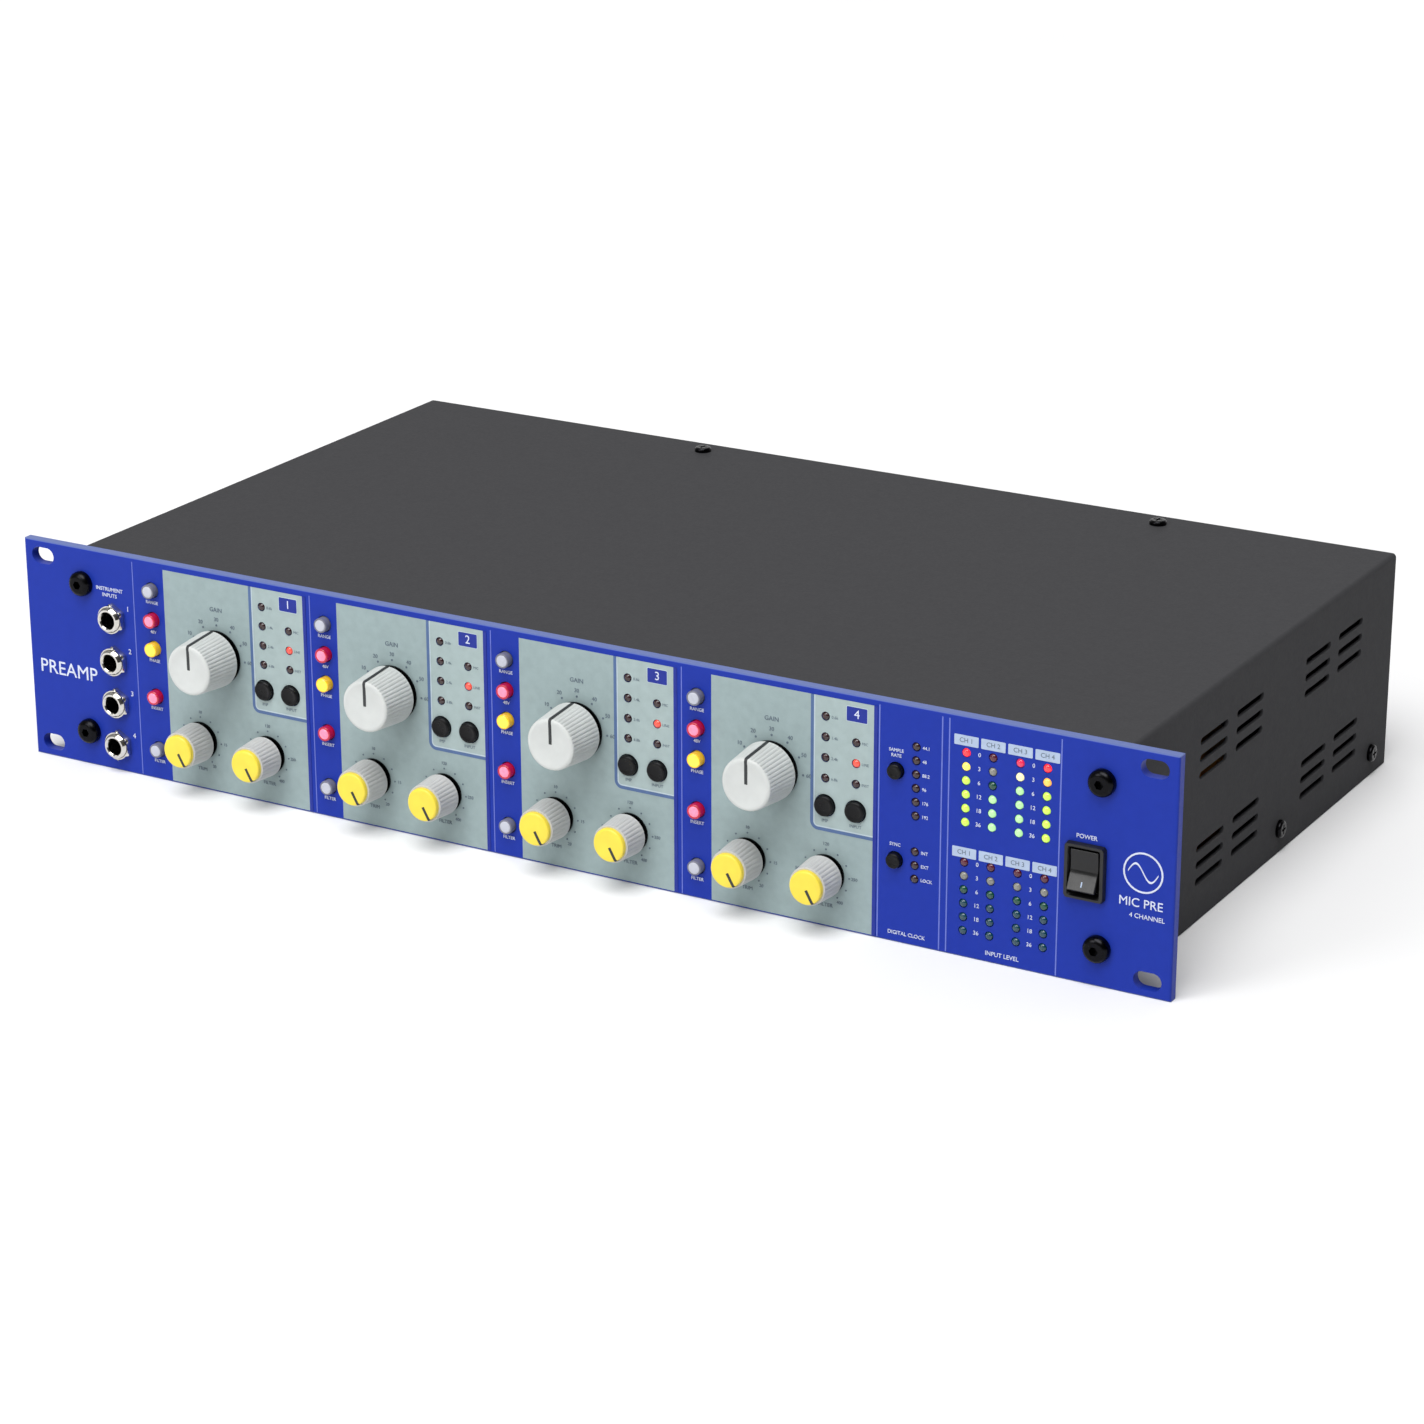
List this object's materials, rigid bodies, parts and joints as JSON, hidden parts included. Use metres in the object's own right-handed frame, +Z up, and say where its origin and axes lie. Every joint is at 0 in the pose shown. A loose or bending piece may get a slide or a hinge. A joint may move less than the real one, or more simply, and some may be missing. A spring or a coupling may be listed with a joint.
{
  "type": "microphone preamp",
  "caption": "Rack-mount microphone preamplifier with a blue faceplate, white gain knobs, lit push buttons, level meters and a dark sheet-metal case.",
  "frame": {"origin": "centre of the rack-slot pattern, on the front panel's rear face, which seats on the rack rails", "axes": "+X to the user's right along the panel, +Y to the back of the case, +Z up"},
  "size_m": [0.4826, 0.281, 0.0882],
  "materials": {
    "blue_panel": "satin",
    "black_case": "fine textured powder coat",
    "black_screw": "black oxide",
    "zinc_hardware": "zinc plated",
    "circuit_board": "solder mask",
    "dark_component": "moulded",
    "led_lens": "tinted clear",
    "black_plastic": "moulded",
    "nickel_plate": "nickel plated",
    "connector_shell": "black die-cast",
    "card_metal": "satin",
    "screening_can": "satin",
    "core_wrap": "film-wrapped windings",
    "white_knob": "semi-gloss",
    "grey_knob": "satin",
    "grey_button": "semi-gloss",
    "red_button": "translucent",
    "yellow_button": "translucent",
    "black_button": "satin"
  },
  "bodies": {
    "case": {"front_panel": "blue_panel", "chassis_tray": "black_case", "rear_panel": "black_case", "top_cover": "black_case", "screws": "black_screw", "rotary_controls": "zinc_hardware", "circuit_boards": "circuit_board", "indicator_leds": "led_lens", "power_switch_frame": "black_plastic", "jack_sockets": "nickel_plate", "xlr_inputs": "connector_shell", "xlr_outputs": "connector_shell", "digital_card": "card_metal", "mains_inlet": "black_plastic", "audio_transformers": "screening_can", "board_components": "dark_component", "mains_transformer": "core_wrap"},
    "gain_knob_1": {"gain_knob_1": "white_knob"},
    "trim_knob_1": {"trim_knob_1": "grey_knob"},
    "filter_knob_1": {"filter_knob_1": "grey_knob"},
    "range_button_1": {"range_button_1": "grey_button"},
    "phantom_button_1": {"phantom_button_1": "red_button"},
    "phase_button_1": {"phase_button_1": "yellow_button"},
    "insert_button_1": {"insert_button_1": "red_button"},
    "filter_button_1": {"filter_button_1": "grey_button"},
    "impedance_button_1": {"impedance_button_1": "black_button"},
    "source_button_1": {"source_button_1": "black_button"},
    "gain_knob_2": {"gain_knob_2": "white_knob"},
    "trim_knob_2": {"trim_knob_2": "grey_knob"},
    "filter_knob_2": {"filter_knob_2": "grey_knob"},
    "range_button_2": {"range_button_2": "grey_button"},
    "phantom_button_2": {"phantom_button_2": "red_button"},
    "phase_button_2": {"phase_button_2": "yellow_button"},
    "insert_button_2": {"insert_button_2": "red_button"},
    "filter_button_2": {"filter_button_2": "grey_button"},
    "impedance_button_2": {"impedance_button_2": "black_button"},
    "source_button_2": {"source_button_2": "black_button"},
    "gain_knob_3": {"gain_knob_3": "white_knob"},
    "trim_knob_3": {"trim_knob_3": "grey_knob"},
    "filter_knob_3": {"filter_knob_3": "grey_knob"},
    "range_button_3": {"range_button_3": "grey_button"},
    "phantom_button_3": {"phantom_button_3": "red_button"},
    "phase_button_3": {"phase_button_3": "yellow_button"},
    "insert_button_3": {"insert_button_3": "red_button"},
    "filter_button_3": {"filter_button_3": "grey_button"},
    "impedance_button_3": {"impedance_button_3": "black_button"},
    "source_button_3": {"source_button_3": "black_button"},
    "gain_knob_4": {"gain_knob_4": "white_knob"},
    "trim_knob_4": {"trim_knob_4": "grey_knob"},
    "filter_knob_4": {"filter_knob_4": "grey_knob"},
    "range_button_4": {"range_button_4": "grey_button"},
    "phantom_button_4": {"phantom_button_4": "red_button"},
    "phase_button_4": {"phase_button_4": "yellow_button"},
    "insert_button_4": {"insert_button_4": "red_button"},
    "filter_button_4": {"filter_button_4": "grey_button"},
    "impedance_button_4": {"impedance_button_4": "black_button"},
    "source_button_4": {"source_button_4": "black_button"},
    "sample_rate_button": {"sample_rate_button": "black_button"},
    "clock_source_button": {"clock_source_button": "black_button"},
    "power_rocker": {"power_rocker": "black_plastic"}
  },
  "joints": [
    {"name": "gain_knob_1_turn", "type": "hinge", "parent": "case", "child": "gain_knob_1", "pos_m": [-0.1508, -0.012, 0.011], "axis": [0, 1, 0], "range_deg": [-90, 90]},
    {"name": "trim_knob_1_turn", "type": "hinge", "parent": "case", "child": "trim_knob_1", "pos_m": [-0.1604, -0.012, -0.0241], "axis": [0, 1, 0], "range_deg": [-300, 0]},
    {"name": "filter_knob_1_turn", "type": "hinge", "parent": "case", "child": "filter_knob_1", "pos_m": [-0.129, -0.012, -0.0241], "axis": [0, 1, 0], "range_deg": [-300, 0]},
    {"name": "range_button_1_press", "type": "slide", "parent": "case", "child": "range_button_1", "axis": [0, 1, 0], "range_m": [0, 0.002], "stiffness_N_per_m": 600, "springref_m": -0.001},
    {"name": "phantom_button_1_press", "type": "slide", "parent": "case", "child": "phantom_button_1", "axis": [0, 1, 0], "range_m": [0, 0.002], "stiffness_N_per_m": 600, "springref_m": -0.001},
    {"name": "phase_button_1_press", "type": "slide", "parent": "case", "child": "phase_button_1", "axis": [0, 1, 0], "range_m": [0, 0.002], "stiffness_N_per_m": 600, "springref_m": -0.001},
    {"name": "insert_button_1_press", "type": "slide", "parent": "case", "child": "insert_button_1", "axis": [0, 1, 0], "range_m": [0, 0.002], "stiffness_N_per_m": 600, "springref_m": -0.001},
    {"name": "filter_button_1_press", "type": "slide", "parent": "case", "child": "filter_button_1", "axis": [0, 1, 0], "range_m": [0, 0.002], "stiffness_N_per_m": 600, "springref_m": -0.001},
    {"name": "impedance_button_1_press", "type": "slide", "parent": "case", "child": "impedance_button_1", "axis": [0, 1, 0], "range_m": [0, 0.0012], "stiffness_N_per_m": 600, "springref_m": -0.001},
    {"name": "source_button_1_press", "type": "slide", "parent": "case", "child": "source_button_1", "axis": [0, 1, 0], "range_m": [0, 0.0012], "stiffness_N_per_m": 600, "springref_m": -0.001},
    {"name": "gain_knob_2_turn", "type": "hinge", "parent": "case", "child": "gain_knob_2", "pos_m": [-0.0712, -0.012, 0.011], "axis": [0, 1, 0], "range_deg": [-90, 90]},
    {"name": "trim_knob_2_turn", "type": "hinge", "parent": "case", "child": "trim_knob_2", "pos_m": [-0.0808, -0.012, -0.0241], "axis": [0, 1, 0], "range_deg": [-300, 0]},
    {"name": "filter_knob_2_turn", "type": "hinge", "parent": "case", "child": "filter_knob_2", "pos_m": [-0.0494, -0.012, -0.0241], "axis": [0, 1, 0], "range_deg": [-300, 0]},
    {"name": "range_button_2_press", "type": "slide", "parent": "case", "child": "range_button_2", "axis": [0, 1, 0], "range_m": [0, 0.002], "stiffness_N_per_m": 600, "springref_m": -0.001},
    {"name": "phantom_button_2_press", "type": "slide", "parent": "case", "child": "phantom_button_2", "axis": [0, 1, 0], "range_m": [0, 0.002], "stiffness_N_per_m": 600, "springref_m": -0.001},
    {"name": "phase_button_2_press", "type": "slide", "parent": "case", "child": "phase_button_2", "axis": [0, 1, 0], "range_m": [0, 0.002], "stiffness_N_per_m": 600, "springref_m": -0.001},
    {"name": "insert_button_2_press", "type": "slide", "parent": "case", "child": "insert_button_2", "axis": [0, 1, 0], "range_m": [0, 0.002], "stiffness_N_per_m": 600, "springref_m": -0.001},
    {"name": "filter_button_2_press", "type": "slide", "parent": "case", "child": "filter_button_2", "axis": [0, 1, 0], "range_m": [0, 0.002], "stiffness_N_per_m": 600, "springref_m": -0.001},
    {"name": "impedance_button_2_press", "type": "slide", "parent": "case", "child": "impedance_button_2", "axis": [0, 1, 0], "range_m": [0, 0.0012], "stiffness_N_per_m": 600, "springref_m": -0.001},
    {"name": "source_button_2_press", "type": "slide", "parent": "case", "child": "source_button_2", "axis": [0, 1, 0], "range_m": [0, 0.0012], "stiffness_N_per_m": 600, "springref_m": -0.001},
    {"name": "gain_knob_3_turn", "type": "hinge", "parent": "case", "child": "gain_knob_3", "pos_m": [0.0084, -0.012, 0.011], "axis": [0, 1, 0], "range_deg": [-90, 90]},
    {"name": "trim_knob_3_turn", "type": "hinge", "parent": "case", "child": "trim_knob_3", "pos_m": [-0.0012, -0.012, -0.0241], "axis": [0, 1, 0], "range_deg": [-300, 0]},
    {"name": "filter_knob_3_turn", "type": "hinge", "parent": "case", "child": "filter_knob_3", "pos_m": [0.0302, -0.012, -0.0241], "axis": [0, 1, 0], "range_deg": [-300, 0]},
    {"name": "range_button_3_press", "type": "slide", "parent": "case", "child": "range_button_3", "axis": [0, 1, 0], "range_m": [0, 0.002], "stiffness_N_per_m": 600, "springref_m": -0.001},
    {"name": "phantom_button_3_press", "type": "slide", "parent": "case", "child": "phantom_button_3", "axis": [0, 1, 0], "range_m": [0, 0.002], "stiffness_N_per_m": 600, "springref_m": -0.001},
    {"name": "phase_button_3_press", "type": "slide", "parent": "case", "child": "phase_button_3", "axis": [0, 1, 0], "range_m": [0, 0.002], "stiffness_N_per_m": 600, "springref_m": -0.001},
    {"name": "insert_button_3_press", "type": "slide", "parent": "case", "child": "insert_button_3", "axis": [0, 1, 0], "range_m": [0, 0.002], "stiffness_N_per_m": 600, "springref_m": -0.001},
    {"name": "filter_button_3_press", "type": "slide", "parent": "case", "child": "filter_button_3", "axis": [0, 1, 0], "range_m": [0, 0.002], "stiffness_N_per_m": 600, "springref_m": -0.001},
    {"name": "impedance_button_3_press", "type": "slide", "parent": "case", "child": "impedance_button_3", "axis": [0, 1, 0], "range_m": [0, 0.0012], "stiffness_N_per_m": 600, "springref_m": -0.001},
    {"name": "source_button_3_press", "type": "slide", "parent": "case", "child": "source_button_3", "axis": [0, 1, 0], "range_m": [0, 0.0012], "stiffness_N_per_m": 600, "springref_m": -0.001},
    {"name": "gain_knob_4_turn", "type": "hinge", "parent": "case", "child": "gain_knob_4", "pos_m": [0.088, -0.012, 0.011], "axis": [0, 1, 0], "range_deg": [-90, 90]},
    {"name": "trim_knob_4_turn", "type": "hinge", "parent": "case", "child": "trim_knob_4", "pos_m": [0.0784, -0.012, -0.0241], "axis": [0, 1, 0], "range_deg": [-300, 0]},
    {"name": "filter_knob_4_turn", "type": "hinge", "parent": "case", "child": "filter_knob_4", "pos_m": [0.1098, -0.012, -0.0241], "axis": [0, 1, 0], "range_deg": [-300, 0]},
    {"name": "range_button_4_press", "type": "slide", "parent": "case", "child": "range_button_4", "axis": [0, 1, 0], "range_m": [0, 0.002], "stiffness_N_per_m": 600, "springref_m": -0.001},
    {"name": "phantom_button_4_press", "type": "slide", "parent": "case", "child": "phantom_button_4", "axis": [0, 1, 0], "range_m": [0, 0.002], "stiffness_N_per_m": 600, "springref_m": -0.001},
    {"name": "phase_button_4_press", "type": "slide", "parent": "case", "child": "phase_button_4", "axis": [0, 1, 0], "range_m": [0, 0.002], "stiffness_N_per_m": 600, "springref_m": -0.001},
    {"name": "insert_button_4_press", "type": "slide", "parent": "case", "child": "insert_button_4", "axis": [0, 1, 0], "range_m": [0, 0.002], "stiffness_N_per_m": 600, "springref_m": -0.001},
    {"name": "filter_button_4_press", "type": "slide", "parent": "case", "child": "filter_button_4", "axis": [0, 1, 0], "range_m": [0, 0.002], "stiffness_N_per_m": 600, "springref_m": -0.001},
    {"name": "impedance_button_4_press", "type": "slide", "parent": "case", "child": "impedance_button_4", "axis": [0, 1, 0], "range_m": [0, 0.0012], "stiffness_N_per_m": 600, "springref_m": -0.001},
    {"name": "source_button_4_press", "type": "slide", "parent": "case", "child": "source_button_4", "axis": [0, 1, 0], "range_m": [0, 0.0012], "stiffness_N_per_m": 600, "springref_m": -0.001},
    {"name": "sample_rate_button_press", "type": "slide", "parent": "case", "child": "sample_rate_button", "axis": [0, 1, 0], "range_m": [0, 0.0016], "stiffness_N_per_m": 600, "springref_m": -0.001},
    {"name": "clock_source_button_press", "type": "slide", "parent": "case", "child": "clock_source_button", "axis": [0, 1, 0], "range_m": [0, 0.0016], "stiffness_N_per_m": 600, "springref_m": -0.001},
    {"name": "power_rocker_tilt", "type": "hinge", "parent": "case", "child": "power_rocker", "pos_m": [0.2088, -0.002, -0.003], "axis": [1, 0, 0], "range_deg": [0, 22]}
  ]
}
